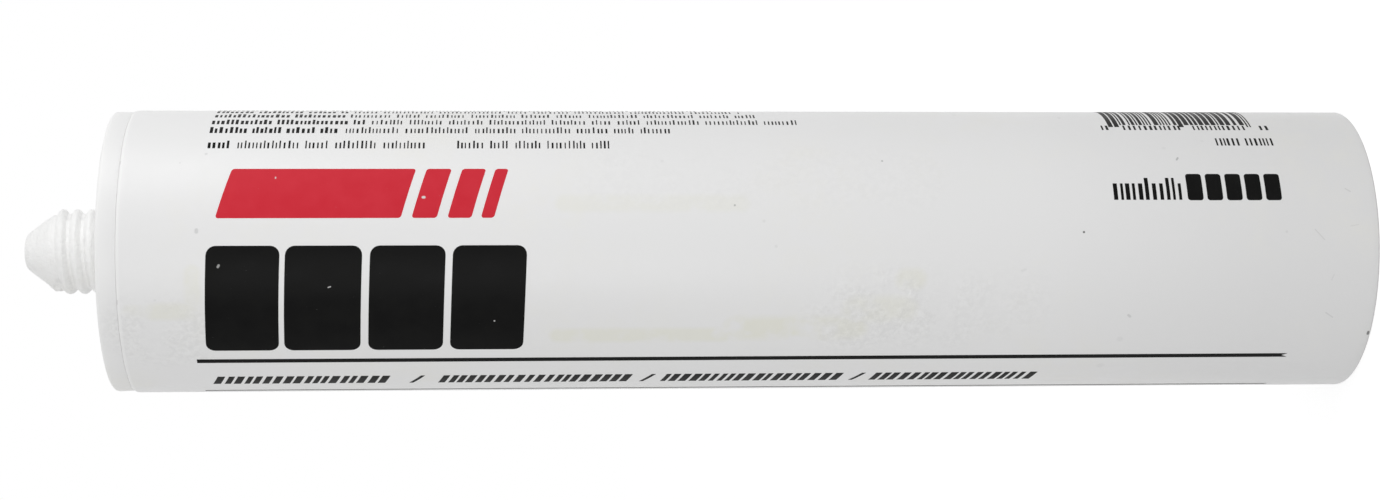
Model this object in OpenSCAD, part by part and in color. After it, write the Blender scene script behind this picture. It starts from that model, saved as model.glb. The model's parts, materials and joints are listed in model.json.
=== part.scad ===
// Sealant cartridge with a closed, threaded neck, a rear piston and its fill.
// It stands on its open rear rim at z = 0, and the neck points up along +Z. Millimetres.

/* [Tube] */
// Outer diameter of the tube
tube_d = 49.5; // [44:0.1:56]
// Wall of the tube
tube_wall = 1.3; // [0.9:0.05:2]
// Rear rim to the face of the shoulder
body_l = 218.5; // [140:0.5:300]
// Rounding of the rear rim's outer edge
rim_edge_r = 0.4; // [0.2:0.05:0.6]
// Chamfer of the rear rim's inner edge
rim_chamfer = 0.3; // [0.1:0.05:0.5]
// Length of the wider lead-in behind the bore
lead_in_l = 5; // [2:0.5:9]
// How much wider than the bore the lead-in is, on each side
lead_in_step = 0.2; // [0.1:0.05:0.4]
// Length of the cone from the lead-in to the bore
lead_in_cone_l = 1.2; // [0.5:0.1:2.5]

/* [Head] */
// Thickness of the shoulder
shoulder_t = 2.6; // [1.6:0.1:5]
// Length of the band between the shoulder and the mould's parting line
band_l = 3.4; // [2:0.1:6]
// How much smaller than the tube the band is, on each side
band_step = 0.2; // [0.1:0.05:0.4]
// How much the band narrows towards the parting line, on each side
band_taper = 0.12; // [0:0.02:0.2]
// Rounding of the band's front edge
band_edge_r = 0.6; // [0.3:0.1:1.2]
// Rounding of the tube's own edge at the parting line
tube_edge_r = 0.5; // [0.1:0.05:0.8]
// Fillet inside, from the bore to the shoulder
inner_fillet_r = 2.5; // [1:0.1:5]

/* [Neck] */
// Diameter of the neck at the root of its thread
neck_d = 13.3; // [11:0.1:18]
// Wall of the neck
neck_wall = 1.35; // [1.25:0.05:2]
// Shoulder to where the dome starts to curve in
neck_l = 9.6; // [6:0.1:20]
// Height of the dome above that
dome_h = 6.1; // [5:0.1:9]
// Radius of the dome's long side
dome_side_r = 60; // [20:1:100]
// Radius where the dome leaves the neck
dome_foot_r = 3.2; // [1:0.1:4]
// Radius of the flat on the tip, without its rounding
tip_flat_r = 2; // [1.5:0.1:3]
// Rounding of the tip's edge
tip_edge_r = 1.8; // [0.4:0.1:2.4]
// Wall of the dome, which is cut open before use
dome_wall = 1.2; // [0.8:0.1:2]
// Depth of the funnel that leads into the neck
funnel_h = 1.2; // [0.5:0.1:1.5]
// Fillet between the shoulder and the foot of the neck
neck_foot_r = 0.8; // [0.3:0.1:1.5]

/* [Thread] */
// Height of the ridge over the root of the thread
thread_h = 0.8; // [0.4:0.05:0.95]
// Pitch of the single right-hand thread
thread_pitch = 2.45; // [2.3:0.05:3.5]
// Shoulder to the middle of the ridge where the thread begins
thread_start = 1.9; // [1.2:0.1:3]
// How far the thread runs on past the neck, up the foot of the dome
thread_over = 1; // [0:0.1:1.2]
// Width of the ridge at its root
ridge_w = 2.1; // [1.2:0.1:2.2]
// Share of a turn over which each end of the ridge fades out
thread_fade = 0.4; // [0.1:0.05:0.8]
// Where the thread begins, round the neck from +X
thread_turned = -10; // [-180:5:180]

/* [Piston] */
// Rear rim of the tube to the piston's rear edge
piston_inset = 12; // [8:0.5:30]
// Height of the piston, without its nose
piston_h = 22; // [17:0.5:30]
// Wall of the skirt
skirt_wall = 1.2; // [0.8:0.1:2]
// Thickness of the crown
crown_t = 1.6; // [1.2:0.1:3]
// Rounding of the crown's edge
crown_edge_r = 1; // [0.5:0.1:1.2]
// How far the lips stand out from the skirt
lip_out = 0.8; // [0.4:0.1:1.2]
// Length of each lip's cone
lip_l = 2.8; // [1.5:0.1:4]
// Height of the narrow face on each lip that touches the bore
lip_face = 0.7; // [0.4:0.1:1.2]
// Thickness of the front lip's edge
lip_t = 0.9; // [0.6:0.1:1.2]
// Diameter of the nose that points into the neck
nose_d = 8; // [4:0.5:9]
// Height of the nose
nose_h = 1.2; // [0.5:0.1:2]
// Ribs behind the crown
rib_count = 8; // [4:1:12]
// Thickness of each rib
rib_t = 1; // [0.6:0.1:1.6]
// Height of the ribs and of the hub behind the crown
rib_h = 4.5; // [2:0.5:5.5]
// Outer diameter of the hub
hub_d = 15; // [10:0.5:20]

/* [Clearances] */
// Between the piston's lips and the bore
lip_clearance = 0.15; // [0.1:0.05:0.3]
// Between the piston and the head at the end of the stroke
stroke_clearance = 0.3; // [0.2:0.05:0.6]
// Round the fill
fill_clearance = 0.2; // [0.1:0.05:0.3]

/* [Hidden] */
$fn = 96;

tube_r = tube_d / 2;
bore_r = tube_r - tube_wall;
band_r = tube_r - band_step;
parting_z = body_l - band_l;
ceiling_z = body_l - shoulder_t;
neck_r = neck_d / 2;
neck_bore_r = neck_r - neck_wall;
dome_top = neck_l + dome_h;

// The dome's long side is an arc that touches the rounding at its foot and the one at its tip
foot_at = [neck_r - dome_foot_r, neck_l];
tip_at = [tip_flat_r, dome_top - tip_edge_r];
foot_reach = dome_side_r - dome_foot_r;
tip_reach = dome_side_r - tip_edge_r;
foot_to_tip = norm(tip_at - foot_at);
towards_tip = (tip_at - foot_at) / foot_to_tip;
side_along = (foot_reach ^ 2 - tip_reach ^ 2 + foot_to_tip ^ 2) / (2 * foot_to_tip);
side_across = sqrt(foot_reach ^ 2 - side_along ^ 2);
side_at = foot_at + side_along * towards_tip + side_across * [-towards_tip[1], towards_tip[0]];
foot_dir = (foot_at - side_at) / foot_reach;
tip_dir = (tip_at - side_at) / tip_reach;
foot_touch = side_at + dome_side_r * foot_dir;
tip_touch = side_at + dome_side_r * tip_dir;
// How far the wedge that holds the arc reaches past it, and how deep it goes into the dome
wedge_over = 2;
wedge_in = 1;

// The ridge is a rounded bump, swept along the helix; its ends dip into the neck's wall
ridge_sink = 0.2;
ridge_dip = thread_h + 0.1;
ridge_points = 7;
ridge_roundness = 0.8;
steps_per_turn = 24;
thread_steps = round((neck_l + thread_over - thread_start) / thread_pitch * steps_per_turn);
fade_steps = thread_fade * steps_per_turn;

lip_r = bore_r - lip_clearance;
skirt_r = lip_r - lip_out;
skirt_in_r = skirt_r - skirt_wall;
crown_rise = inner_fillet_r + stroke_clearance;
crown_r = bore_r - inner_fillet_r - stroke_clearance;
lip_top = piston_h - crown_rise;
crown_in_r = crown_r - skirt_wall;
web_z = lip_top - lip_l - crown_t;
// How far a rib runs into what carries it
rib_overlap = 0.3;

// Half section of a disc or tube filled to its axis, with its outer lower and upper edges rounded
module half_disc(r, low, high, low_r, high_r) {
    edge_r = max(low_r, high_r);
    translate([0, low]) square([r - edge_r, high - low]);
    translate([0, low + low_r]) square([r, high - low - low_r - high_r]);
    translate([r - edge_r, low + low_r]) square([edge_r, high - low - low_r - high_r]);
    if (low_r > 0) {
        translate([0, low]) square([r - low_r, low_r]);
        translate([r - low_r, low + low_r]) circle(low_r);
    }
    if (high_r > 0) {
        translate([0, high - high_r]) square([r - high_r, high_r]);
        translate([r - high_r, high - high_r]) circle(high_r);
    }
}

// Half section of the head's band, which narrows slightly to the parting line
module band_section() {
    edge_z = body_l - band_edge_r;
    polygon([
        [0, parting_z], [band_r - band_taper, parting_z], [band_r, edge_z],
        [band_r - band_edge_r, edge_z], [band_r - band_edge_r, body_l], [0, body_l]
    ]);
    translate([band_r - band_edge_r, edge_z]) circle(band_edge_r);
}

// Half section of the neck with the fillet at its foot and its closed dome, from the shoulder up
module neck_section() {
    difference() {
        square([neck_r + neck_foot_r, neck_foot_r]);
        translate([neck_r + neck_foot_r, neck_foot_r]) circle(neck_foot_r);
    }
    polygon([
        [0, 0], [neck_r, 0], [neck_r, foot_at[1]], foot_at, foot_touch, tip_touch,
        tip_at, [tip_at[0], dome_top], [0, dome_top]
    ]);
    translate(foot_at) circle(dome_foot_r);
    translate(tip_at) circle(tip_edge_r);
    intersection() {
        translate(side_at) circle(dome_side_r);
        polygon([
            side_at + (dome_side_r - wedge_in) * foot_dir, side_at + (dome_side_r + wedge_over) * foot_dir,
            side_at + (dome_side_r + wedge_over) * tip_dir, side_at + (dome_side_r - wedge_in) * tip_dir
        ]);
    }
}

// Half section of the room inside from the height low up, drawn in by gap on its other sides
module chamber_section(low, gap) {
    top = ceiling_z - gap;
    half_disc(bore_r - gap, low, top, 0, inner_fillet_r);
    polygon([
        [0, top - funnel_h], [neck_bore_r - gap + funnel_h, top - funnel_h],
        [neck_bore_r - gap + funnel_h, top], [neck_bore_r - gap, top + funnel_h], [0, top + funnel_h]
    ]);
    intersection() {
        translate([0, top]) square([neck_bore_r - gap, body_l - top + dome_top - dome_wall - gap]);
        translate(side_at + [0, body_l]) circle(dome_side_r - dome_wall - gap);
    }
}

// Half section of the lead-in behind the bore
module lead_in_section() {
    lead_r = bore_r + lead_in_step;
    polygon([
        [0, 0], [lead_r + rim_chamfer, 0], [lead_r, rim_chamfer], [lead_r, lead_in_l],
        [bore_r, lead_in_l + lead_in_cone_l], [0, lead_in_l + lead_in_cone_l]
    ]);
}

// Angle, height and dip of the ridge at each step of the thread
function ridge_turn(i) = thread_turned + 360 * i / steps_per_turn;
function ridge_z(i) = thread_start + thread_pitch * i / steps_per_turn;
function ridge_fade(i) = min(1, i / fade_steps, (thread_steps - i) / fade_steps);
function ridge_base(i) = neck_r - ridge_sink - (1 - ridge_fade(i)) * ridge_dip;
function bump(j) = pow(abs(sin(180 * j / (ridge_points - 1))), ridge_roundness);
function ridge_ring(i) = [
    for (j = [0 : ridge_points - 1])
        let (r = ridge_base(i) + (thread_h + ridge_sink) * bump(j), a = ridge_turn(i))
            [r * cos(a), r * sin(a), ridge_z(i) + ridge_w * (j / (ridge_points - 1) - 0.5)]
];

// The thread's ridge, from the shoulder's face up
module thread_ridge() {
    corners = [for (i = [0 : thread_steps]) each ridge_ring(i)];
    function at(i, j) = i * ridge_points + j % ridge_points;
    sides = [
        for (i = [0 : thread_steps - 1], j = [0 : ridge_points - 1])
            each [[at(i, j), at(i, j + 1), at(i + 1, j)], [at(i + 1, j), at(i, j + 1), at(i + 1, j + 1)]]
    ];
    first_end = [for (j = [ridge_points - 1 : -1 : 0]) at(0, j)];
    last_end = [for (j = [0 : ridge_points - 1]) at(thread_steps, j)];
    polyhedron(corners, concat(sides, [first_end, last_end]));
}

module barrel() {
    color("white") {
        rotate_extrude() difference() {
            union() {
                half_disc(tube_r, 0, parting_z, rim_edge_r, tube_edge_r);
                band_section();
                translate([0, body_l]) neck_section();
            }
            chamber_section(0, 0);
            lead_in_section();
        }
        translate([0, 0, body_l]) thread_ridge();
    }
}

// Half section of the piston: crown, front lip with the groove that frees it, skirt and rear lip
module piston_section() {
    difference() {
        union() {
            half_disc(crown_r, lip_top - lip_l, piston_h, 0, crown_edge_r);
            polygon([
                [0, 0], [lip_r, 0], [lip_r, lip_face], [skirt_r, lip_face + lip_l],
                [skirt_r, lip_top - lip_face - lip_l], [lip_r, lip_top - lip_face],
                [lip_r, lip_top], [lip_r - lip_t, lip_top], [crown_r, lip_top - lip_l], [0, lip_top - lip_l]
            ]);
        }
        square([skirt_in_r, web_z]);
        square([crown_in_r, piston_h - crown_t]);
    }
    nose_section(0);
}

// Half section of the nose and the top of the crown under it, grown by gap
module nose_section(gap) {
    r = nose_d / 2 + gap;
    low = piston_h - crown_t;
    top = piston_h + nose_h + gap;
    polygon([[0, low], [r, low], [r, top - nose_h], [r - nose_h, top], [0, top]]);
}

// Ribs and hub that stiffen the crown from behind; they run a little into what carries them
module piston_ribs() {
    rib_from = hub_d / 2 - rib_overlap;
    translate([0, 0, piston_h - crown_t - rib_h]) {
        difference() {
            cylinder(d = hub_d, h = rib_h + rib_overlap);
            cylinder(d = hub_d - 2 * rib_t, h = rib_h + rib_overlap);
        }
        for (i = [0 : rib_count - 1]) rotate(360 * i / rib_count)
            translate([rib_from, -rib_t / 2, 0])
                cube([crown_in_r + rib_overlap - rib_from, rib_t, rib_h + rib_overlap]);
    }
}

module piston() {
    color("gainsboro") translate([0, 0, piston_inset]) {
        rotate_extrude() piston_section();
        piston_ribs();
    }
}

module sealant() {
    color("ivory") rotate_extrude() difference() {
        chamber_section(piston_inset + lip_top + fill_clearance, fill_clearance);
        translate([0, piston_inset]) {
            half_disc(crown_r + fill_clearance, 0, piston_h + fill_clearance, 0, crown_edge_r);
            nose_section(fill_clearance);
        }
    }
}

barrel();
piston();
sealant();
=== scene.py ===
import json
import math
import random
import bpy
import bmesh
from mathutils import Matrix, Vector, noise


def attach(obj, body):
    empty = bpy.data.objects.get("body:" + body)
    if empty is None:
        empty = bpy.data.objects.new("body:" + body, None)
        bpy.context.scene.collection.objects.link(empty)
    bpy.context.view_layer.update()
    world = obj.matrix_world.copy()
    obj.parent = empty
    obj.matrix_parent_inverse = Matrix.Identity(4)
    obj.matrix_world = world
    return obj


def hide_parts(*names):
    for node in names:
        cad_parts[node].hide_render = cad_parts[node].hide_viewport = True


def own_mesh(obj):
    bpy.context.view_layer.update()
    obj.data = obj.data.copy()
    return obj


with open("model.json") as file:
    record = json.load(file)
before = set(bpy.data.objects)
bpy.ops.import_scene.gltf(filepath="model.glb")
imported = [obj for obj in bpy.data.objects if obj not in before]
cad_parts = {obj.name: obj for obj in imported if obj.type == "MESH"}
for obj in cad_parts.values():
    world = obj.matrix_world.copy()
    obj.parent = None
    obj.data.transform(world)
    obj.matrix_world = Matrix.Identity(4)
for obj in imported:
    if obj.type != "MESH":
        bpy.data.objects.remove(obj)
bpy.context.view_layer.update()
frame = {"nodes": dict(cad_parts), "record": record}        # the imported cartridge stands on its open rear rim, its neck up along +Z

mm = 0.001
mounts = {mount["name"]: mount for mount in frame["record"]["mounts"]}
tubeRadius = mounts["tube_outside"]["dims"]["r_mm"]
shoulderZ = mounts["shoulder"]["pos_m"][2] / mm
print("frame loaded:", ", ".join(sorted(frame["nodes"])))


# Drawing a half section: a pen that leaves edges behind it, in the plane of X and Z, in mm

def startAt(bm, x, z):
    return bm.verts.new((x * mm, 0, z * mm))


def lineTo(bm, last, x, z, parts=1):
    start, end = last.co.copy(), Vector((x * mm, 0, z * mm))
    for part in range(parts):
        last = bmesh.ops.extrude_vert_indiv(bm, verts=[last])["verts"][0]
        last.co = start.lerp(end, (part + 1) / parts)
    return last


def sideTo(bm, last, x, z, hold):
    # a long straight with a short step at each end, which keeps the shading of the roundings off it
    start, end = last.co / mm, Vector((x, 0, z))
    step = (end - start).normalized() * hold
    last = lineTo(bm, last, start.x + step.x, start.z + step.z)
    last = lineTo(bm, last, x - step.x, z - step.z)
    return lineTo(bm, last, x, z)


def arcTo(bm, last, centre, toAngle, parts):
    # round a centre the shorter way, to an angle that counts from +X towards +Z
    fromAngle = math.atan2(last.co.z / mm - centre[1], last.co.x / mm - centre[0])
    turn = (toAngle - fromAngle + math.pi) % (2 * math.pi) - math.pi
    around = (centre[0] * mm, 0, centre[1] * mm)
    made = bmesh.ops.spin(bm, geom=[last], cent=around, axis=(0, 1, 0), angle=-turn, steps=parts)
    return made["geom_last"][0]


def spinRound(bm, steps):
    bmesh.ops.spin(bm, geom=bm.verts[:] + bm.edges[:], cent=(0, 0, 0), axis=(0, 0, 1),
                   angle=2 * math.pi, steps=steps, use_merge=True)
    bmesh.ops.remove_doubles(bm, verts=bm.verts, dist=0.0005 * mm)
    bmesh.ops.recalc_face_normals(bm, faces=bm.faces)


def joinInto(bm, other):
    # a finished shell goes into the same mesh
    mesh = bpy.data.meshes.new("shell")
    other.to_mesh(mesh)
    other.free()
    bm.from_mesh(mesh)
    bpy.data.meshes.remove(mesh)


def makePiece(bm, name, material, body, sharpAngle=50):
    mesh = bpy.data.meshes.new(name)
    for edge in bm.edges:
        edge.smooth = len(edge.link_faces) == 2 and edge.calc_face_angle(0) < math.radians(sharpAngle)
    for face in bm.faces:
        face.smooth = True
    bm.to_mesh(mesh)
    bm.free()
    mesh.materials.append(material)
    piece = bpy.data.objects.new(name, mesh)
    bpy.context.scene.collection.objects.link(piece)
    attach(piece, body)
    return piece


# Node groups that more than one finish uses

def addNode(nodes, kind, **settings):
    node = nodes.new(kind)
    for key, value in settings.items():
        setattr(node, key, value)
    return node


def setInput(tree, socket, value):
    if isinstance(value, bpy.types.NodeSocket):
        tree.links.new(value, socket)
    else:
        socket.default_value = value


def addMath(tree, operation, first, second, clamp=False):
    node = addNode(tree.nodes, "ShaderNodeMath", operation=operation, use_clamp=clamp)
    for socket, value in zip(node.inputs, (first, second)):
        setInput(tree, socket, value)
    return node.outputs[0]


def addVectorMath(tree, operation, first, second, gives="Vector"):
    node = addNode(tree.nodes, "ShaderNodeVectorMath", operation=operation)
    tree.links.new(first, node.inputs[0])
    tree.links.new(second, node.inputs[1])
    return node.outputs[gives]


def addNoise(tree, vector, scale, detail, roughness=0.5):
    node = addNode(tree.nodes, "ShaderNodeTexNoise")
    tree.links.new(vector, node.inputs["Vector"])
    node.inputs["Scale"].default_value = scale
    node.inputs["Detail"].default_value = detail
    node.inputs["Roughness"].default_value = roughness
    return node.outputs["Fac"]


def addAway(tree, value, level):
    # how far a value lies from a level, either way
    return addMath(tree, "ABSOLUTE", addMath(tree, "SUBTRACT", value, level), 0)


def addRange(tree, value, low, high, toLow=0.0, toHigh=1.0):
    node = addNode(tree.nodes, "ShaderNodeMapRange", clamp=True)
    tree.links.new(value, node.inputs["Value"])
    for name, number in (("From Min", low), ("From Max", high), ("To Min", toLow), ("To Max", toHigh)):
        node.inputs[name].default_value = number
    return node.outputs["Result"]


def addMix(tree, factor, first, second):
    node = addNode(tree.nodes, "ShaderNodeMix", data_type="RGBA")
    used = [socket for socket in node.inputs if socket.enabled]
    for socket, value in zip(used, (factor, first, second)):
        setInput(tree, socket, value)
    return [socket for socket in node.outputs if socket.enabled][0]


def newGroup(name, inputs, outputs):
    tree = bpy.data.node_groups.new(name, "ShaderNodeTree")
    for label, kind in inputs:
        tree.interface.new_socket(name=label, in_out="INPUT", socket_type="NodeSocket" + kind)
    for label, kind in outputs:
        tree.interface.new_socket(name=label, in_out="OUTPUT", socket_type="NodeSocket" + kind)
    entry = tree.nodes.new("NodeGroupInput")
    leave = tree.nodes.new("NodeGroupOutput")
    return tree, entry.outputs, leave.inputs


def makeMouldedSkin():
    # waxy moulded plastic: broad drifts of tone, flow lines round the tube and a fine grain
    tree, given, gives = newGroup(
        "moulded skin",
        [("Vector", "Vector"), ("Colour", "Color"), ("Tint", "Color"), ("Drift", "Float"),
         ("Roughness", "Float"), ("Grain", "Float")],
        [("Colour", "Color"), ("Roughness", "Float"), ("Height", "Float")])
    broad = addNoise(tree, given["Vector"], scale=0.035, detail=3)
    blotch = addNoise(tree, given["Vector"], scale=0.16, detail=5, roughness=0.62)
    fine = addNoise(tree, given["Vector"], scale=1.1, detail=4)
    grain = addNoise(tree, given["Vector"], scale=5.5, detail=2)
    broadDrift, blotchDrift = addRange(tree, broad, 0.46, 0.66), addRange(tree, blotch, 0.42, 0.68)
    drift = addMath(tree, "MULTIPLY", broadDrift, blotchDrift)
    amount = addMath(tree, "MULTIPLY", drift, given["Drift"], clamp=True)
    tree.links.new(addMix(tree, amount, given["Colour"], given["Tint"]), gives["Colour"])
    uneven = addMath(tree, "ADD", addRange(tree, fine, 0.3, 0.7, -0.05, 0.05),
                     addRange(tree, blotch, 0.3, 0.7, -0.04, 0.04))
    tree.links.new(addMath(tree, "ADD", given["Roughness"], uneven, clamp=True), gives["Roughness"])
    waves = addMath(tree, "MULTIPLY", blotch, 0.05)
    ripple = addMath(tree, "MULTIPLY", fine, 0.010)
    pores = addMath(tree, "MULTIPLY", grain, 0.004)
    relief = addMath(tree, "MULTIPLY", addMath(tree, "ADD", ripple, pores), given["Grain"])
    tree.links.new(addMath(tree, "ADD", waves, relief), gives["Height"])
    return tree


def makeMark():
    # a dot, a short scratch or a patch: its strength along the middle, fading to 0 at its radius
    tree, given, gives = newGroup(
        "mark",
        [("Vector", "Vector"), ("Centre", "Vector"), ("Along", "Vector"), ("Half Length", "Float"),
         ("Radius", "Float"), ("Strength", "Float")],
        [("Mask", "Float")])
    away = addVectorMath(tree, "SUBTRACT", given["Vector"], given["Centre"])
    share = addVectorMath(tree, "DOT_PRODUCT", away, given["Along"], "Value")
    least = addMath(tree, "MULTIPLY", given["Half Length"], -1)
    share = addMath(tree, "MAXIMUM", addMath(tree, "MINIMUM", share, given["Half Length"]), least)
    nearest = addNode(tree.nodes, "ShaderNodeVectorMath", operation="SCALE")
    tree.links.new(given["Along"], nearest.inputs[0])
    tree.links.new(share, nearest.inputs["Scale"])
    distance = addVectorMath(tree, "DISTANCE", away, nearest.outputs["Vector"], "Value")
    faded = addRange(tree, addMath(tree, "DIVIDE", distance, given["Radius"]), 0.5, 1.0, 1.0, 0.0)
    tree.links.new(addMath(tree, "MULTIPLY", faded, given["Strength"]), gives["Mask"])
    return tree


mouldedSkin = makeMouldedSkin()
mark = makeMark()


def newMaterial(name, **fixed):
    material = bpy.data.materials.new(name)
    material.use_nodes = True
    shader = material.node_tree.nodes["Principled BSDF"]
    for socket, value in fixed.items():
        shader.inputs[socket].default_value = value
    place = addNode(material.node_tree.nodes, "ShaderNodeTexCoord")
    inMm = addNode(material.node_tree.nodes, "ShaderNodeMapping")
    inMm.inputs["Scale"].default_value = (1 / mm, 1 / mm, 1 / mm)
    material.node_tree.links.new(place.outputs["Object"], inMm.inputs["Vector"])
    return material, material.node_tree, shader, inMm.outputs["Vector"]


def placeGroup(tree, group, vector, values):
    node = addNode(tree.nodes, "ShaderNodeGroup", node_tree=group)
    tree.links.new(vector, node.inputs["Vector"])
    for name, value in values.items():
        setInput(tree, node.inputs[name], value)
    return node.outputs


def addSkin(tree, place, look, colour):
    return placeGroup(tree, mouldedSkin, place, {
        "Colour": colour, "Tint": look["tint"], "Drift": look["drift"],
        "Roughness": look["roughness"], "Grain": look["grain"]})


def addBump(tree, shader, height):
    # heights come in mm
    bump = addNode(tree.nodes, "ShaderNodeBump")
    bump.inputs["Distance"].default_value = mm
    tree.links.new(height, bump.inputs["Height"])
    tree.links.new(bump.outputs["Normal"], shader.inputs["Normal"])


def onTube(fromShoulder, arc, radius=tubeRadius):
    # a point on the tube: mm from the shoulder to the rear, and mm of arc from -Y towards +X
    angle = arc / tubeRadius
    return Vector((radius * math.sin(angle), -radius * math.cos(angle), shoulderZ - fromShoulder))


def addMarks(tree, place, marks, radius=tubeRadius):
    # each mark: mm from the shoulder, mm of arc, half width, strength, half length, slant from the axis;
    # radius is that of the surface below the marks, while the arc counts on the tube all the same
    most = None
    for fromShoulder, arc, wide, strength, half, slant in marks:
        turn, lean = arc / tubeRadius, math.radians(slant)
        across = math.sin(lean)
        along = Vector((math.cos(turn) * across, math.sin(turn) * across, -math.cos(lean)))
        mask = placeGroup(tree, mark, place, {
            "Centre": onTube(fromShoulder, arc, radius), "Along": along, "Half Length": half,
            "Radius": wide, "Strength": strength})["Mask"]
        most = mask if most is None else addMath(tree, "MAXIMUM", most, mask)
    return most


# Barrel: tube, head, neck and dome in one moulding

barrelSize = dict(
    boreRadius=23.45, leadInRadius=23.65, leadInDepth=5, leadInCone=1.2, rimEdge=0.4, rimChamfer=0.3,
    bandLength=3.4, bandStep=0.2, bandTaper=0.12, bandEdge=0.6, tubeEdge=0.5, shoulderThick=2.6,
    innerFillet=2.5, neckRadius=6.65, neckBore=5.3, neckLength=9.6, neckFillet=0.8, funnel=1.2,
    domeHeight=6.1, domeSide=60, domeFoot=3.2, domeWall=1.2, tipRadius=2, tipEdge=1.8, roundSteps=256)
threadSize = dict(
    height=0.8, pitch=2.45, start=1.9, width=2.1, fade=0.4, turned=-10, turns=85 / 24, sink=0.2, dip=0.9,
    roundness=0.8, uneven=0.05, unevenEnd=0.12, lumpScale=4, lumpStretch=3, reach=3, inWall=0.5,
    outWall=0.3, wallLean=0.4)
raggedFoot = dict(
    middle=10.3, halfLength=2.1, halfAngle=42, height=1.5, grain=1.0, grainAngle=12, slice=3, least=-0.2,
    most=0.22)


def domeSideCentre(size):
    # the dome's long side touches the rounding at its foot and the one at its tip
    foot = Vector((size["neckRadius"] - size["domeFoot"], size["neckLength"]))
    tip = Vector((size["tipRadius"], size["neckLength"] + size["domeHeight"] - size["tipEdge"]))
    footReach, tipReach = size["domeSide"] - size["domeFoot"], size["domeSide"] - size["tipEdge"]
    apart = (tip - foot).length
    along = (footReach ** 2 - tipReach ** 2 + apart ** 2) / (2 * apart)
    across = math.sqrt(footReach ** 2 - along ** 2)
    towards = (tip - foot) / apart
    centre = foot + along * towards + across * Vector((-towards.y, towards.x))
    lift = Vector((0, shoulderZ))
    return foot + lift, tip + lift, centre + lift


def ridgeHeight(angle, z):
    # how far the thread's ridge stands out from the neck there; down on the axis where there is none
    size, best = threadSize, -barrelSize["neckRadius"]
    firstTurn = (math.degrees(angle) - size["turned"]) / 360 % 1
    for whole in range(int(size["turns"]) + 2):
        turn = firstTurn + whole
        across = (z - shoulderZ - size["start"] - size["pitch"] * turn) / size["width"] + 0.5
        if turn > size["turns"] or not 0 < across < 1:
            continue
        faded = min(1, turn / size["fade"], (size["turns"] - turn) / size["fade"])
        rise = (size["height"] + size["sink"]) * math.sin(math.pi * across) ** size["roundness"]
        around = Vector((math.cos(angle), math.sin(angle), z / size["lumpStretch"]))
        lump = noise.noise(around * size["lumpScale"])
        rise += lump * rise * (size["uneven"] + (1 - faded) * size["unevenEnd"])
        best = max(best, rise - size["sink"] - (1 - faded) * size["dip"])
    return best


def raggedHeight(angle, z):
    # lumps of plastic on the dome's foot, on the side that lies below in the picture
    size = raggedFoot
    aside = abs(abs(math.degrees(angle)) - 180) / size["halfAngle"]
    along = abs(z - shoulderZ - size["middle"]) / size["halfLength"]
    if max(aside, along) >= 1:
        return 0
    spot = Vector((math.degrees(angle) / size["grainAngle"], z / size["grain"], size["slice"]))
    lump = min(max(noise.noise(spot), size["least"]), size["most"])
    return size["height"] * lump * (1 - aside ** 2) * (1 - along ** 2)


def cutThread(bm):
    # only the outer wall of the neck and of the dome's foot moves, so what lies deeper is passed over
    size, cut = barrelSize, threadSize
    footZ = shoulderZ + size["neckLength"]
    for vert in bm.verts:
        radius, z = math.hypot(vert.co.x, vert.co.y) / mm, vert.co.z / mm
        inWall = size["neckBore"] + cut["inWall"] - cut["wallLean"] * max(0, z - footZ)
        outside = size["neckRadius"] + cut["outWall"]
        if not (shoulderZ < z < footZ + cut["reach"] and inWall < radius < outside):
            continue
        angle = math.atan2(vert.co.y, vert.co.x)
        out = max(radius, size["neckRadius"] + ridgeHeight(angle, z)) + raggedHeight(angle, z)
        vert.co.x, vert.co.y = vert.co.x * out / radius, vert.co.y * out / radius


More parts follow.
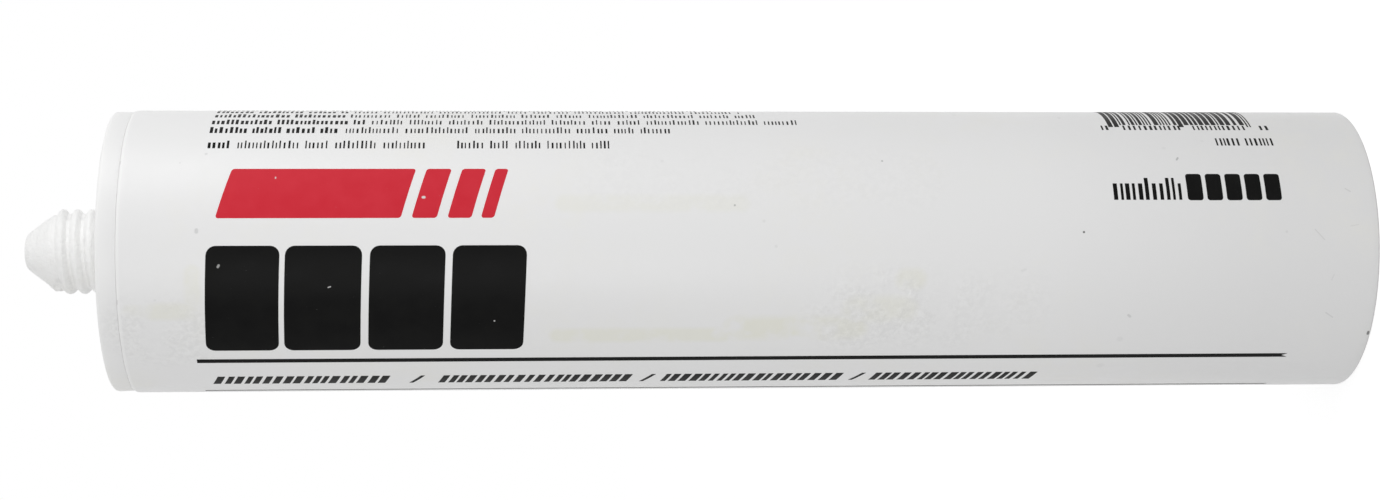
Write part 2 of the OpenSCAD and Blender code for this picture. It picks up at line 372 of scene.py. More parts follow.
def makeBarrel(material):
    size = barrelSize
    foot, tip, side = domeSideCentre(size)
    top = tip.y + size["tipEdge"]
    footAngle = math.atan2(foot.y - side.y, foot.x - side.x)
    tipAngle = math.atan2(tip.y - side.y, tip.x - side.x)
    bandRadius, partingZ = tubeRadius - size["bandStep"], shoulderZ - size["bandLength"]
    ceilingZ = shoulderZ - size["shoulderThick"]
    bm = bmesh.new()
    last = startAt(bm, 0, top)
    last = sideTo(bm, last, tip.x, top, hold=0.4)
    last = arcTo(bm, last, tip, tipAngle, parts=8)
    last = arcTo(bm, last, side, footAngle, parts=36)
    last = arcTo(bm, last, foot, 0, parts=12)
    filletZ = shoulderZ + size["neckFillet"]
    last = lineTo(bm, last, size["neckRadius"], filletZ, parts=76)
    last = arcTo(bm, last, (size["neckRadius"] + size["neckFillet"], filletZ), -math.pi / 2, parts=8)
    last = sideTo(bm, last, bandRadius - size["bandEdge"], shoulderZ, hold=0.3)
    last = arcTo(bm, last, (bandRadius - size["bandEdge"], shoulderZ - size["bandEdge"]), 0, parts=6)
    last = sideTo(bm, last, bandRadius - size["bandTaper"], partingZ, hold=0.2)
    last = lineTo(bm, last, tubeRadius - size["tubeEdge"], partingZ)
    last = arcTo(bm, last, (tubeRadius - size["tubeEdge"], partingZ - size["tubeEdge"]), 0, parts=5)
    last = sideTo(bm, last, tubeRadius, size["rimEdge"], hold=1)
    last = arcTo(bm, last, (tubeRadius - size["rimEdge"], size["rimEdge"]), -math.pi / 2, parts=6)
    last = sideTo(bm, last, size["leadInRadius"] + size["rimChamfer"], 0, hold=0.1)
    last = lineTo(bm, last, size["leadInRadius"], size["rimChamfer"])
    last = sideTo(bm, last, size["leadInRadius"], size["leadInDepth"], hold=0.3)
    last = lineTo(bm, last, size["boreRadius"], size["leadInDepth"] + size["leadInCone"])
    last = sideTo(bm, last, size["boreRadius"], ceilingZ - size["innerFillet"], hold=1)
    cornerR = size["innerFillet"]
    last = arcTo(bm, last, (size["boreRadius"] - cornerR, ceilingZ - cornerR), math.pi / 2, parts=8)
    last = sideTo(bm, last, size["neckBore"] + size["funnel"], ceilingZ, hold=0.3)
    last = lineTo(bm, last, size["neckBore"], ceilingZ + size["funnel"])
    innerSide, innerTop = size["domeSide"] - size["domeWall"], top - size["domeWall"]
    bendAngle = math.acos((size["neckBore"] - side.x) / innerSide)
    last = lineTo(bm, last, size["neckBore"], side.y + innerSide * math.sin(bendAngle))
    last = arcTo(bm, last, side, math.asin((innerTop - side.y) / innerSide), parts=16)
    lineTo(bm, last, 0, innerTop)
    spinRound(bm, size["roundSteps"])
    cutThread(bm)
    piece = makePiece(bm, "barrel_moulding", material, "cartridge", sharpAngle=35)
    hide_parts("barrel")
    return piece


# the head, neck and rear colours are painted light and shade along the tube, and the pale edge is a painted
# highlight on the tube's rounded edge beside the parting line
barrelFinish = dict(
    colour=(0.84, 0.84, 0.84, 1), paintedLightAndFleckColour=(0.90, 0.90, 0.895, 1), headLightReach=3,
    neckPaintedLight=(0.925, 0.925, 0.92, 1), neckReach=1, rearPaintedShade=(0.79, 0.79, 0.79, 1), rearShadeReach=(20, 60),
    tint=(0.84, 0.83, 0.77, 1), drift=0.35, roughness=0.42, grain=1.0, oil=(0.81, 0.808, 0.73, 1),
    smearDark=(0.74, 0.74, 0.735, 1), smearTone=0.5, smearRelief=0.2, neckRelief=0.3, ringStretch=0.08,
    paintedEdgeHighlight=0.7, highlightOffset=0.3, dirt=(0.05, 0.05, 0.048, 1), partingDirt=0.05, partingAt=0.15, rimDirt=0.3)
barrelMarks = [
    (166.7, 2.9, 0.24, 1.0, 0, 0), (106.9, 7.7, 0.24, 0.4, 0, 0), (132.7, 16.4, 0.24, 0.4, 0, 0),
    (184.4, 16.9, 0.22, 0.38, 0.25, 60), (218.0, -15.8, 0.3, 0.8, 0.2, 90), (113.8, 0.6, 0.35, 0.08, 0, 0),
    (111.8, 4.9, 0.35, 0.08, 0, 0), (94.8, 16.4, 0.4, 0.06, 0, 0), (147.5, 32.2, 0.5, 0.08, 0, 0),
    (175.2, -12.0, 0.3, 0.2, 0.2, -40), (213.5, 10.4, 0.15, 0.14, 0.5, -35),
    (207.9, 2.4, 0.13, 0.13, 1.2, -48), (202.1, 2.9, 0.3, 0.1, 0, 0),
    (210.4, -12.0, 0.16, 0.14, 0.8, -35), (214.1, 4.0, 0.13, 0.08, 0.7, 10),
    (210.3, -5.0, 0.15, 0.08, 0.5, 70), (16.8, 3.4, 0.4, 0.22, 0.15, 90), (17.7, 18.0, 0.35, 0.15, 0, 0),
    (174.2, -16.9, 0.7, 0.06, 0, 0), (13.5, 16.0, 0.22, 0.1, 0, 0), (182.5, 19.5, 0.5, 0.05, 0, 0),
    (156.3, -3.6, 0.3, 0.06, 0.3, 20), (189.7, 21.4, 0.4, 0.05, 0, 0), (166.0, 30.2, 0.4, 0.12, 0, 0),
    (9.8, -8.3, 0.25, 0.07, 0, 0), (172.0, -24.0, 0.9, 0.05, 0, 0), (3.5, 16.1, 0.22, 0.3, 0.3, 90),
    (3.5, -8.7, 0.22, 0.35, 0.35, 90), (3.5, 10.2, 0.16, 0.25, 1.5, 90)]
neckMarks = [
    (-7.3, -21.3, 0.8, 0.13, 0.2, 90), (-4.7, 5.4, 0.6, 0.12, 0.4, 90), (-4.6, 0.1, 0.6, 0.14, 0.3, 0),
    (-5.9, 25.7, 0.7, 0.14, 0.8, 0), (-8.0, 25.7, 0.7, 0.14, 0.7, 0), (-10.2, -7.0, 0.5, 0.1, 0.2, 90),
    (-8.7, -19.9, 0.9, 0.13, 0.8, 30)]
oilPatches = [
    (93, 8.1, 2.0, 0.4, 15, 0), (91, -15.5, 1.9, 0.8, 14, 0), (117.5, -14.2, 3.0, 0.9, 10, 0),
    (136.9, -5.1, 2.4, 0.7, 0.8, 0), (131.8, -10.6, 3.2, 0.7, 4, 0), (12.5, -10.4, 2.0, 0.7, 3.2, 0),
    (16, -6.0, 1.7, 0.6, 2.4, 90), (6.4, -10.4, 1.6, 0.4, 1, 0)]
smearPatches = [
    (134, -11.5, 10, 0.9, 7, 0), (147, -9.5, 8, 0.45, 8, 0), (11, -15, 9, 0.75, 4, 0),
    (112, 13, 8, 0.25, 26, 0)]


def addPaintedTubeLight(tree, height, onNeck):
    # painted light and shade: paler towards the head and on the neck, darker at the rear, standing in for
    # the light that falls brighter on the neck end and fades towards the rear
    look = barrelFinish
    atRear = addRange(tree, height, *look["rearShadeReach"], 1.0, 0.0)
    onHead = addRange(tree, height, shoulderZ - look["headLightReach"], shoulderZ)
    tone = addMix(tree, atRear, look["colour"], look["rearPaintedShade"])
    tone = addMix(tree, onHead, tone, look["paintedLightAndFleckColour"])
    return addMix(tree, onNeck, tone, look["neckPaintedLight"])


def addOil(tree, place, colour):
    cloud = addRange(tree, addNoise(tree, place, scale=0.22, detail=3), 0.3, 0.52)
    oily = addMath(tree, "MULTIPLY", addMarks(tree, place, oilPatches), cloud)
    return addMix(tree, oily, colour, barrelFinish["oil"])


def addSmears(tree, place, colour):
    # dried smears, mottled in tone and a little rough
    look = barrelFinish
    cloud = addRange(tree, addNoise(tree, place, scale=0.14, detail=4), 0.34, 0.56)
    smeared = addMath(tree, "MULTIPLY", addMarks(tree, place, smearPatches), cloud)
    grains = addNoise(tree, place, scale=1.1, detail=3, roughness=0.6)
    mottled = addMix(tree, addRange(tree, grains, 0.4, 0.62), look["smearDark"], look["paintedLightAndFleckColour"])
    colour = addMix(tree, addMath(tree, "MULTIPLY", smeared, look["smearTone"]), colour, mottled)
    relief = addMath(tree, "MULTIPLY", addMath(tree, "MULTIPLY", smeared, grains), look["smearRelief"])
    return colour, relief


def addEdgeHighlightAndDirt(tree, place, height, colour):
    # a painted highlight on the tube's edge beside the parting line, dirt in that line and on the rear rim,
    # specks and scratches
    look, partingZ = barrelFinish, shoulderZ - barrelSize["bandLength"]
    # painted highlight: the tube's rounded edge just past the parting line is lightened towards the head's
    # painted-light colour, standing in for the light it catches
    fromEdge = addAway(tree, height, partingZ - look["highlightOffset"])
    highlightShare = addRange(tree, fromEdge, 0.2, 0.45, look["paintedEdgeHighlight"], 0.0)
    colour = addMix(tree, highlightShare, colour, look["paintedLightAndFleckColour"])
    patchy = addRange(tree, addNoise(tree, place, scale=0.55, detail=4, roughness=0.7), 0.38, 0.72)
    inThread = addMarks(tree, place, neckMarks, barrelSize["neckRadius"])
    inThread = addMath(tree, "MULTIPLY", inThread, patchy)
    dark = addMath(tree, "MAXIMUM", addMarks(tree, place, barrelMarks), inThread)
    for level, spread, strength in ((partingZ + look["partingAt"], 0.28, look["partingDirt"]),
                                    (0.0, 0.35, look["rimDirt"])):
        away = addAway(tree, height, level)
        line = addMath(tree, "MULTIPLY", addRange(tree, away, 0.1, spread, strength, 0.0), patchy)
        dark = addMath(tree, "MAXIMUM", dark, line)
    return addMix(tree, dark, colour, look["dirt"])


def addNeckRelief(tree, place, onNeck):
    # faint rings round the neck and the dome, and a coarse grain
    look = barrelFinish
    crossed = addNode(tree.nodes, "ShaderNodeMapping")
    tree.links.new(place, crossed.inputs["Vector"])
    crossed.inputs["Scale"].default_value = (look["ringStretch"], look["ringStretch"], 1)
    rings = addNoise(tree, crossed.outputs["Vector"], scale=0.9, detail=3)
    coarse = addNoise(tree, place, scale=0.9, detail=4, roughness=0.65)
    rough = addMath(tree, "MULTIPLY", addMath(tree, "ADD", rings, coarse), onNeck)
    return addMath(tree, "MULTIPLY", rough, look["neckRelief"])


def makeBarrelFinish():
    look = barrelFinish
    material, tree, shader, place = newMaterial("satinPolyethylene", Metallic=0.0)
    split = addNode(tree.nodes, "ShaderNodeSeparateXYZ")
    tree.links.new(place, split.inputs[0])
    height = split.outputs["Z"]
    onNeck = addRange(tree, height, shoulderZ, shoulderZ + look["neckReach"])
    skin = addSkin(tree, place, look, addPaintedTubeLight(tree, height, onNeck))
    colour = addOil(tree, place, skin["Colour"])
    colour, smearHeight = addSmears(tree, place, colour)
    tree.links.new(addEdgeHighlightAndDirt(tree, place, height, colour), shader.inputs["Base Color"])
    tree.links.new(skin["Roughness"], shader.inputs["Roughness"])
    relief = addMath(tree, "ADD", addNeckRelief(tree, place, onNeck), smearHeight)
    addBump(tree, shader, addMath(tree, "ADD", skin["Height"], relief))
    return material


# Print: ink fields, cut flat and laid round the tube; U runs from the shoulder to the rear, V is arc

inkSize = dict(under=0.03, proud=0.02, bendStep=0.6)
strokeKinds = dict(
    slanted=dict(stroke=1.0, gap=0.55, lean=0.35, tall=1.0, wordBreaks=False),
    bold=dict(stroke=0.42, gap=0.34), plain=dict(stroke=0.24, gap=0.42),
    note=dict(stroke=0.3, gap=0.4, tall=1.0), label=dict(stroke=0.55, gap=0.5, tall=0.4),
    figures=dict(stroke=0.34, gap=0.5, tall=1.0, wordBreaks=False))
strokeRange = dict(group=(5, 16), stroke=(0.8, 1.35), gap=(0.75, 1.3), lowCap=0.74)
# each rule: start, end, arc, width; each fine line: start, end of its bold part, end, arc
blackPrint = dict(
    blocks=[(17.6, 29.8), (30.7, 43.5), (44.8, 57.4), (58.6, 71.0)], blockArc=(-18.5, 0.9), blockCorner=1.6,
    blockLean=0.04,
    rules=[(15.8, 204.7, -21.15, 0.97), (15.8, 204.5, -34.0, 0.65)], forkDepth=1.0,
    slantedWords=[(17.7, 48.2), (56.3, 89.8), (94.9, 126.6), (131.6, 161.6)], slantedArc=(-29.2, -26.1),
    slashes=[51.3, 91.2, 128.0], slashWide=0.7, slashLean=0.7,
    finePrint=[(18.0, 43.0, 105.0, 37.1), (18.0, 41.0, 110.0, 34.0), (18.0, 40.5, 111.9, 30.9),
               (17.8, 44.3, 119.8, 27.7), (17.75, 40.0, 97.9, 24.6), (17.8, 22.0, 54.8, 20.35),
               (59.9, 59.9, 86.0, 20.35)],
    fineCap=2.0, boldGap=0.8, smallNote=(192.1, 202.7, 21.2),
    figures=[(172.6, 174.0), (176.5, 187.0), (189.0, 199.0), (201.0, 202.6)], figuresArc=(24.9, 26.5),
    labelWords=(172.3, 184.4, 8.6, 12.8), labelBlocks=(185.2, 202.4, 8.5, 13.6), labelCount=5, labelGap=0.7,
    labelCorner=0.5, barcode=(174.0, 199.6, 26.8, 44.0), barWide=0.27, guardDrop=0.8, guardEnd=1.2,
    guardMiddle=0.6)
redPrint = dict(band=(19.8, 50.6), bandArc=(5.55, 14.7), lean=0.27,
                bars=[(52.4, 56.6), (58.4, 62.4), (64.0, 66.2)], corner=0.5)


def inkField(bm, u0, u1, v0, v1, corner=0.0, lean=0.0):
    middle = Matrix.Translation((((u0 + u1) / 2) * mm, ((v0 + v1) / 2) * mm, 0))
    stretch = Matrix.Diagonal(((u1 - u0) * mm, (v1 - v0) * mm, 1, 1))
    made = bmesh.ops.create_grid(bm, x_segments=1, y_segments=1, size=0.5, matrix=middle @ stretch)
    for vert in made["verts"]:
        vert.co.x += lean * (vert.co.y - v0 * mm)
    if corner:
        bmesh.ops.bevel(bm, geom=made["verts"], offset=corner * mm, segments=5, profile=0.5,
                        affect="VERTICES", material=-1)
    return made["verts"]


def forkEnd(bm, corners, depth):
    # the ink has come off the end of a rule in a wedge
    last = sorted(corners, key=lambda vert: vert.co.x)[-2:]
    made = bmesh.ops.subdivide_edges(bm, edges=[bm.edges.get(last)], cuts=1)
    for item in made["geom_inner"]:
        if isinstance(item, bmesh.types.BMVert):
            item.co.x -= depth * mm


def strokes(bm, rng, u0, u1, low, cap, stroke, gap, lean=0.0, tall=0.3, wordBreaks=True):
    # a run of plain upright strokes in groups, with the weight of fine print and no letters in it
    u, limits = u0, strokeRange
    while u < u1:
        for count in range(rng.randint(*limits["group"])):
            wide = stroke * rng.uniform(*limits["stroke"])
            if u + wide > u1:
                return
            high = cap if rng.random() < tall else cap * limits["lowCap"]
            inkField(bm, u, u + wide, low, low + high, lean=lean)
            u += wide + gap * rng.uniform(*limits["gap"])
        u += 2 * gap if wordBreaks else 0


def layRound(bm):
    # cut across every step of arc, give the ink its thickness, and bend it round the tube
    reach = max(abs(vert.co.y) for vert in bm.verts)
    step = inkSize["bendStep"] * mm
    for cut in range(-int(reach / step), int(reach / step) + 1):
        bmesh.ops.bisect_plane(bm, geom=bm.verts[:] + bm.edges[:] + bm.faces[:], dist=1e-7,
                               plane_co=(0, cut * step, 0), plane_no=(0, 1, 0))
    thick = inkSize["under"] + inkSize["proud"]
    bmesh.ops.solidify(bm, geom=bm.faces[:], thickness=thick * mm)
    low = min(vert.co.z for vert in bm.verts)
    for vert in bm.verts:
        radius = tubeRadius - inkSize["under"] + (vert.co.z - low) / mm
        vert.co = onTube(vert.co.x / mm, vert.co.y / mm, radius) * mm
    bmesh.ops.recalc_face_normals(bm, faces=bm.faces)


def drawSlabs(bm):
    plan = blackPrint
    for u0, u1 in plan["blocks"]:
        inkField(bm, u0, u1, *plan["blockArc"], plan["blockCorner"], plan["blockLean"])
    for u0, u1, v, wide in plan["rules"]:
        forkEnd(bm, inkField(bm, u0, u1, v - wide / 2, v + wide / 2), plan["forkDepth"])


def drawWords(bm, rng):
    plan, kinds = blackPrint, strokeKinds
    low, high = plan["slantedArc"]
    for u0, u1 in plan["slantedWords"]:
        strokes(bm, rng, u0, u1, low, high - low, **kinds["slanted"])
    for u0 in plan["slashes"]:
        inkField(bm, u0, u0 + plan["slashWide"], low, high, lean=plan["slashLean"])
    cap = plan["fineCap"]
    for u0, bold, u1, v in plan["finePrint"]:
        strokes(bm, rng, u0, bold, v - cap / 2, cap, **kinds["bold"])
        start = bold + plan["boldGap"] if bold > u0 else bold
        strokes(bm, rng, start, u1, v - cap / 2, cap, **kinds["plain"])
    u0, u1, v = plan["smallNote"]
    strokes(bm, rng, u0, u1, v - cap / 2, cap, **kinds["note"])
    low, high = plan["figuresArc"]
    for u0, u1 in plan["figures"]:
        strokes(bm, rng, u0, u1, low, high - low, **kinds["figures"])
    u0, u1, low, high = plan["labelWords"]
    strokes(bm, rng, u0, u1, low, high - low, **kinds["label"])


def drawLabelBlocks(bm):
    plan = blackPrint
    u0, u1, low, high = plan["labelBlocks"]
    pitch = (u1 - u0) / plan["labelCount"]
    for block in range(plan["labelCount"]):
        start = u0 + block * pitch
        inkField(bm, start, start + pitch - plan["labelGap"], low, high, plan["labelCorner"])


def drawBarcode(bm, rng):
    # a random run of bars, with longer ones at both ends and in the middle
    plan = blackPrint
    u0, u1, low, high = plan["barcode"]
    u, bar = u0, 0
    while u < u1:
        wide = plan["barWide"] * rng.choice((1, 1, 2, 3))
        isGuard = bar < 2 or u1 - u < plan["guardEnd"] or abs(u - (u0 + u1) / 2) < plan["guardMiddle"]
        inkField(bm, u, min(u + wide, u1), low - (plan["guardDrop"] if isGuard else 0), high)
        u, bar = u + wide + plan["barWide"] * rng.choice((1, 1, 2)), bar + 1


def makeBlackPrint(material):
    bm, rng = bmesh.new(), random.Random(11)
    drawSlabs(bm)
    drawWords(bm, rng)
    drawLabelBlocks(bm)
    drawBarcode(bm, rng)
    layRound(bm)
    return makePiece(bm, "print_black", material, "cartridge")


def makeRedPrint(material):
    plan, bm = redPrint, bmesh.new()
    low, high = plan["bandArc"]
    for u0, u1 in [plan["band"]] + plan["bars"]:
        inkField(bm, u0, u1, low, high, plan["corner"], plan["lean"])
    layRound(bm)
    return makePiece(bm, "print_red", material, "cartridge")


inkChips = [(20.4, -2.5, 0.26, 0.5, 0.15, 60), (54.4, 9.2, 0.3, 1, 0.1, 0), (66.2, -12.4, 0.18, 0.8, 0, 0),
            (38.7, -6.1, 0.14, 0.7, 0.2, 20), (29.6, 12.9, 0.15, 0.8, 0.1, 90)]
blackInk = dict(colour=(0.004, 0.004, 0.004, 1), worn=(0.008, 0.008, 0.0075, 1))
redInk = dict(colour=(0.62, 0.028, 0.045, 1), worn=(0.66, 0.04, 0.06, 1))
bareColour = (0.7, 0.7, 0.69, 1)


def makeInk(name, look):
    # screen ink: a little uneven in gloss, with a few pinholes that let the plastic show
    material, tree, shader, place = newMaterial(name, **{"Metallic": 0.0, "Specular IOR Level": 0.06})
    cloud = addNoise(tree, place, scale=0.3, detail=4)
    pinholes = addRange(tree, addNoise(tree, place, scale=3.2, detail=5, roughness=0.7), 0.72, 0.78)
    uneven = addMix(tree, addRange(tree, cloud, 0.35, 0.7, 0.0, 0.5), look["colour"], look["worn"])
    gone = addMath(tree, "MAXIMUM", pinholes, addMarks(tree, place, inkChips))
    tree.links.new(addMix(tree, gone, uneven, bareColour), shader.inputs["Base Color"])
    tree.links.new(addRange(tree, cloud, 0.3, 0.7, 0.32, 0.45), shader.inputs["Roughness"])
    addBump(tree, shader, addMath(tree, "MULTIPLY", addNoise(tree, place, scale=4.0, detail=3), 0.004))
    return material


# Piston and fill

pistonSize = dict(
    inset=12, height=22, lipRadius=23.3, lipFace=0.7, lipLength=2.8, lipEdge=0.9, skirtRadius=22.5,
    skirtIn=21.3, crownRadius=20.65, crownIn=19.45, crownThick=1.6, crownEdge=1, lipTop=19.2, webZ=14.8,
    noseRadius=4, noseHeight=1.2, roundSteps=192, ribCount=8, ribThick=1, ribHeight=4.5, ribSink=0.3,
    ribEdge=0.25, hubRadius=7.5)


def makePistonShell(bm):
    size = pistonSize
    base, top = size["inset"], size["inset"] + size["height"]
    lipTop, lipStart = base + size["lipTop"], base + size["lipTop"] - size["lipLength"]
    last = startAt(bm, 0, top + size["noseHeight"])
    last = sideTo(bm, last, size["noseRadius"] - size["noseHeight"], top + size["noseHeight"], hold=0.3)
    last = sideTo(bm, last, size["noseRadius"], top, hold=0.2)
    last = sideTo(bm, last, size["crownRadius"] - size["crownEdge"], top, hold=0.3)
    last = arcTo(bm, last, (size["crownRadius"] - size["crownEdge"], top - size["crownEdge"]), 0, parts=6)
    last = sideTo(bm, last, size["crownRadius"], lipStart, hold=0.2)
    last = sideTo(bm, last, size["lipRadius"] - size["lipEdge"], lipTop, hold=0.1)
    last = sideTo(bm, last, size["lipRadius"], lipTop, hold=0.1)
    last = sideTo(bm, last, size["lipRadius"], lipTop - size["lipFace"], hold=0.1)
    last = sideTo(bm, last, size["skirtRadius"], lipTop - size["lipFace"] - size["lipLength"], hold=0.2)
    last = sideTo(bm, last, size["skirtRadius"], base + size["lipFace"] + size["lipLength"], hold=0.3)
    last = sideTo(bm, last, size["lipRadius"], base + size["lipFace"], hold=0.2)
    last = sideTo(bm, last, size["lipRadius"], base, hold=0.1)
    last = sideTo(bm, last, size["skirtIn"], base, hold=0.1)
    last = sideTo(bm, last, size["skirtIn"], base + size["webZ"], hold=0.3)
    last = sideTo(bm, last, size["crownIn"], base + size["webZ"], hold=0.2)
    last = sideTo(bm, last, size["crownIn"], top - size["crownThick"], hold=0.3)
    sideTo(bm, last, 0, top - size["crownThick"], hold=0.3)
    spinRound(bm, size["roundSteps"])


def makePistonHub(bm):
    size = pistonSize
    high = size["inset"] + size["height"] - size["crownThick"]
    low, sunk, edge = high - size["ribHeight"], high + size["ribSink"], size["ribEdge"]
    outer, inner = size["hubRadius"], size["hubRadius"] - size["ribThick"]
    ring = bmesh.new()
    last = startAt(ring, inner, sunk)
    last = sideTo(ring, last, inner, low + edge, hold=0.2)
    last = arcTo(ring, last, (inner + edge, low + edge), -math.pi / 2, parts=4)
    last = lineTo(ring, last, outer - edge, low)
    last = arcTo(ring, last, (outer - edge, low + edge), 0, parts=4)
    last = sideTo(ring, last, outer, sunk, hold=0.2)
    lineTo(ring, last, inner, sunk)
    spinRound(ring, size["roundSteps"])
    joinInto(bm, ring)


def makePistonRibs(bm):
    size = pistonSize
    high = size["inset"] + size["height"] - size["crownThick"] + size["ribSink"]
    low = high - size["ribSink"] - size["ribHeight"]
    inner, outer = size["hubRadius"] - size["ribSink"], size["crownIn"] + size["ribSink"]
    for rib in range(size["ribCount"]):
        turn = Matrix.Rotation(2 * math.pi * rib / size["ribCount"], 4, "Z")
        middle = Matrix.Translation(Vector((inner + outer, 0, low + high)) / 2 * mm)
        stretch = Matrix.Diagonal(((outer - inner) * mm, size["ribThick"] * mm, (high - low) * mm, 1))
        made = bmesh.ops.create_cube(bm, size=1, matrix=turn @ middle @ stretch)
        edges = {edge for vert in made["verts"] for edge in vert.link_edges}
        rear = [edge for edge in edges if all(vert.co.z < low * mm + 1e-6 for vert in edge.verts)]
        bmesh.ops.bevel(bm, geom=rear, offset=size["ribEdge"] * mm, segments=3, profile=0.5,
                        affect="EDGES", material=-1)


def makePiston(material):
    bm = bmesh.new()
    makePistonShell(bm)
    makePistonHub(bm)
    makePistonRibs(bm)
    piece = makePiece(bm, "piston_moulding", material, "plunger", sharpAngle=35)
    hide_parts("piston")
    return piece


pistonFinish = dict(
    colour=(0.78, 0.78, 0.76, 1), tint=(0.74, 0.73, 0.68, 1), drift=0.6, roughness=0.5, grain=1.5)
fillSize = dict(gap=0.2, roundSteps=160)
fillFinish = dict(
    colour=(0.78, 0.76, 0.70, 1), tint=(0.72, 0.69, 0.62, 1), drift=0.8, roughness=0.35, grain=3.0)


def makeFill(material):
    size, wall, cup, bm = fillSize, barrelSize, pistonSize, bmesh.new()
    gap, ceilingZ = size["gap"], shoulderZ - wall["shoulderThick"] - size["gap"]
    outer, rear = wall["boreRadius"] - gap, cup["inset"] + cup["lipTop"] + gap
    crownTop = cup["inset"] + cup["height"] + gap
    neckRadius = wall["neckBore"] - gap
    tip, side = domeSideCentre(wall)[1:]
    innerSide = wall["domeSide"] - wall["domeWall"] - gap
    innerTop = tip.y + wall["tipEdge"] - wall["domeWall"] - gap
    last = startAt(bm, 0, innerTop)
    last = lineTo(bm, last, side.x + math.sqrt(innerSide ** 2 - (innerTop - side.y) ** 2), innerTop)
    last = arcTo(bm, last, side, math.acos((neckRadius - side.x) / innerSide), parts=12)
    last = lineTo(bm, last, neckRadius, ceilingZ + wall["funnel"])
    last = lineTo(bm, last, neckRadius + wall["funnel"], ceilingZ)
    last = lineTo(bm, last, outer - wall["innerFillet"], ceilingZ)
    cornerR = wall["innerFillet"]
    last = arcTo(bm, last, (outer - cornerR, ceilingZ - cornerR), 0, parts=8)
    last = sideTo(bm, last, outer, rear, hold=1)
    last = lineTo(bm, last, cup["crownRadius"] + gap, rear)
    last = lineTo(bm, last, cup["crownRadius"] + gap, crownTop - cup["crownEdge"])
    edgeR = cup["crownEdge"]
    last = arcTo(bm, last, (cup["crownRadius"] + gap - edgeR, crownTop - edgeR), math.pi / 2, parts=6)
    last = lineTo(bm, last, cup["noseRadius"] + gap, crownTop)
    last = lineTo(bm, last, cup["noseRadius"] + gap - cup["noseHeight"], crownTop + cup["noseHeight"])
    lineTo(bm, last, 0, crownTop + cup["noseHeight"])
    spinRound(bm, size["roundSteps"])
    piece = makePiece(bm, "sealant_fill", material, "cartridge", sharpAngle=35)
    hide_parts("sealant")
    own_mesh(piece)
    return piece


def makePlainFinish(name, look):
    material, tree, shader, place = newMaterial(name, Metallic=0.0)
    skin = addSkin(tree, place, look, look["colour"])
    tree.links.new(skin["Colour"], shader.inputs["Base Color"])
    tree.links.new(skin["Roughness"], shader.inputs["Roughness"])
    addBump(tree, shader, skin["Height"])
    return material


barrel = makeBarrel(makeBarrelFinish())
print("barrel:", len(barrel.data.polygons), "faces")
printBlack = makeBlackPrint(makeInk("blackInk", blackInk))
printRed = makeRedPrint(makeInk("redInk", redInk))
print("print:", len(printBlack.data.polygons), "and", len(printRed.data.polygons), "faces")
piston = makePiston(makePlainFinish("pistonPlastic", pistonFinish))
fill = makeFill(makePlainFinish("paste", fillFinish))
print("piston and fill:", len(piston.data.polygons), "and", len(fill.data.polygons), "faces")


# Stage, light and camera

stage = dict(floorWide=6.0, floorHole=24.6, floorSegments=96, floorColour=(0.65, 0.65, 0.65, 1),
             floorRoughness=0.9, floorGlow=0.56, ambient=0.68)
white = (1, 1, 1, 1)
keyLamp = dict(place=(0.25, -0.12, 0.28), size=0.2, power=0.275)
fillLamp = dict(place=(-0.14, -0.45, 0.2), size=0.25, power=0.38)
cameraView = dict(place=(0, -0.44054, 0.14829), yaw=0.0736, roll=0.0026, lens=63.47, sensor=36,
                  nearest=0.01, farthest=20)


def whiteForCamera(tree):
    # 1 for what the camera sees directly, mirrored or through something clear
    path = addNode(tree.nodes, "ShaderNodeLightPath")
    seen = addMath(tree, "MAXIMUM", path.outputs["Is Camera Ray"], path.outputs["Is Glossy Ray"])
    return addMath(tree, "MAXIMUM", seen, path.outputs["Is Transmission Ray"])


def makeWorld():
    world = bpy.data.worlds.new("studio")
    world.use_nodes = True
    tree = world.node_tree
    light = tree.nodes["Background"]
    light.inputs["Color"].default_value = white
    light.inputs["Strength"].default_value = stage["ambient"]
    backdrop = addNode(tree.nodes, "ShaderNodeBackground")
    backdrop.inputs["Color"].default_value = white
    backdrop.inputs["Strength"].default_value = 1
    choose = addNode(tree.nodes, "ShaderNodeMixShader")
    tree.links.new(whiteForCamera(tree), choose.inputs[0])
    tree.links.new(light.outputs[0], choose.inputs[1])
    tree.links.new(backdrop.outputs[0], choose.inputs[2])
    tree.links.new(choose.outputs[0], tree.nodes["World Output"].inputs["Surface"])
    bpy.context.scene.world = world


def makeFloorFinish():
    # white to the camera, and clear from below so that the rear opening shows
    material = bpy.data.materials.new("paleFloor")
    material.use_nodes = True
    tree = material.node_tree
    shader = tree.nodes["Principled BSDF"]
    for name, value in (("Base Color", stage["floorColour"]), ("Roughness", stage["floorRoughness"]),
                        ("Specular IOR Level", 0), ("Emission Color", white)):
        shader.inputs[name].default_value = value
    glow = addMath(tree, "MULTIPLY", whiteForCamera(tree), stage["floorGlow"])
    tree.links.new(glow, shader.inputs["Emission Strength"])
    side = addNode(tree.nodes, "ShaderNodeNewGeometry")
    clear = addNode(tree.nodes, "ShaderNodeBsdfTransparent")
    either = addNode(tree.nodes, "ShaderNodeMixShader")
    tree.links.new(side.outputs["Backfacing"], either.inputs[0])
    tree.links.new(shader.outputs[0], either.inputs[1])
    tree.links.new(clear.outputs[0], either.inputs[2])
    tree.links.new(either.outputs[0], tree.nodes["Material Output"].inputs["Surface"])
    return material


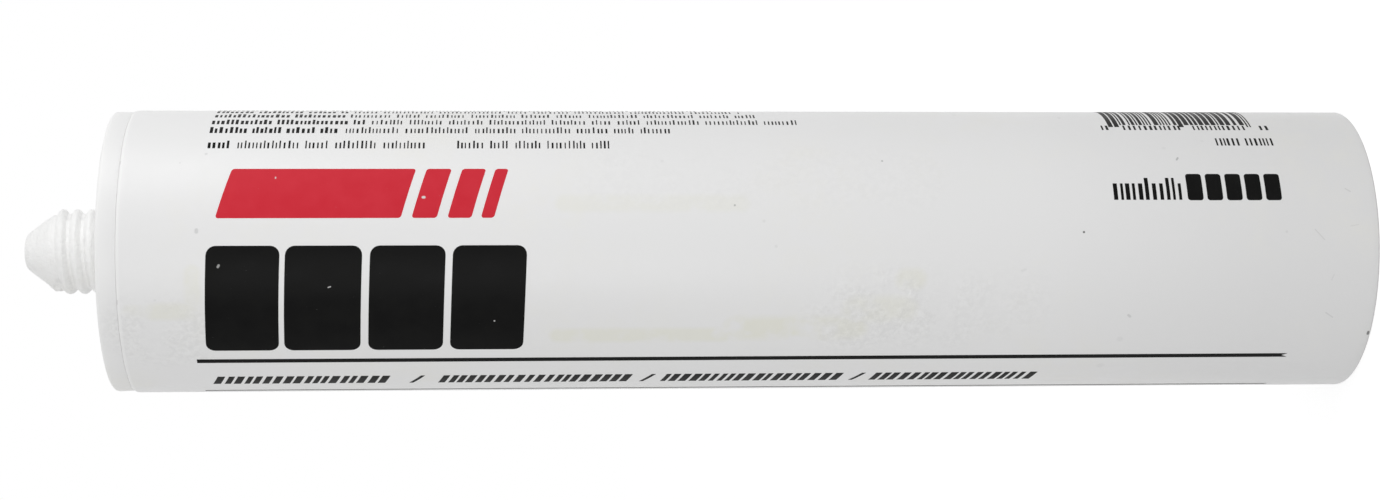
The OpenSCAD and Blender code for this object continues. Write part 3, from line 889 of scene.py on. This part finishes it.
def makeFloor():
    # a round floor with a hole hidden under the tube, through which light reaches the piston
    bm = bmesh.new()
    for radius in (stage["floorHole"] * mm, stage["floorWide"] / 2):
        bmesh.ops.create_circle(bm, segments=stage["floorSegments"], radius=radius)
    bmesh.ops.bridge_loops(bm, edges=bm.edges[:])
    bmesh.ops.recalc_face_normals(bm, faces=bm.faces)
    if bm.faces[:][0].normal.z < 0:
        bmesh.ops.reverse_faces(bm, faces=bm.faces[:])
    mesh = bpy.data.meshes.new("floor")
    bm.to_mesh(mesh)
    bm.free()
    floor = bpy.data.objects.new("floor", mesh)
    bpy.context.scene.collection.objects.link(floor)
    mesh.materials.append(makeFloorFinish())


def addLamp(name, spec):
    lamp = bpy.data.lights.new(name, "AREA")
    lamp.shape, lamp.size, lamp.energy = "DISK", spec["size"], spec["power"]
    holder = bpy.data.objects.new(name, lamp)
    place, aim = Vector(spec["place"]), Vector((0, 0, shoulderZ * mm / 2))
    holder.location = place
    holder.rotation_euler = (aim - place).to_track_quat("-Z", "Y").to_euler()
    bpy.context.scene.collection.objects.link(holder)


def makeCamera():
    # level with the tube and turned on its side, so that the neck points left in the picture
    view = cameraView
    ahead = Vector((0, math.cos(view["yaw"]), -math.sin(view["yaw"])))
    right, up = Vector((0, -math.sin(view["yaw"]), -math.cos(view["yaw"]))), Vector((1, 0, 0))
    tiltedRight = right * math.cos(view["roll"]) - up * math.sin(view["roll"])
    tiltedUp = right * math.sin(view["roll"]) + up * math.cos(view["roll"])
    camera = bpy.data.objects.new("camera", bpy.data.cameras.new("camera"))
    camera.data.lens, camera.data.sensor_width = view["lens"], view["sensor"]
    turned = Matrix((tiltedRight, tiltedUp, -ahead)).transposed()
    camera.matrix_world = Matrix.Translation(view["place"]) @ turned.to_4x4()
    camera.data.clip_start, camera.data.clip_end = view["nearest"], view["farthest"]
    bpy.context.scene.collection.objects.link(camera)
    bpy.context.scene.camera = camera


makeWorld()
makeFloor()
addLamp("key", keyLamp)
addLamp("fill", fillLamp)
makeCamera()
bpy.context.scene.view_settings.view_transform = "Standard"
print("stage, light and camera set")
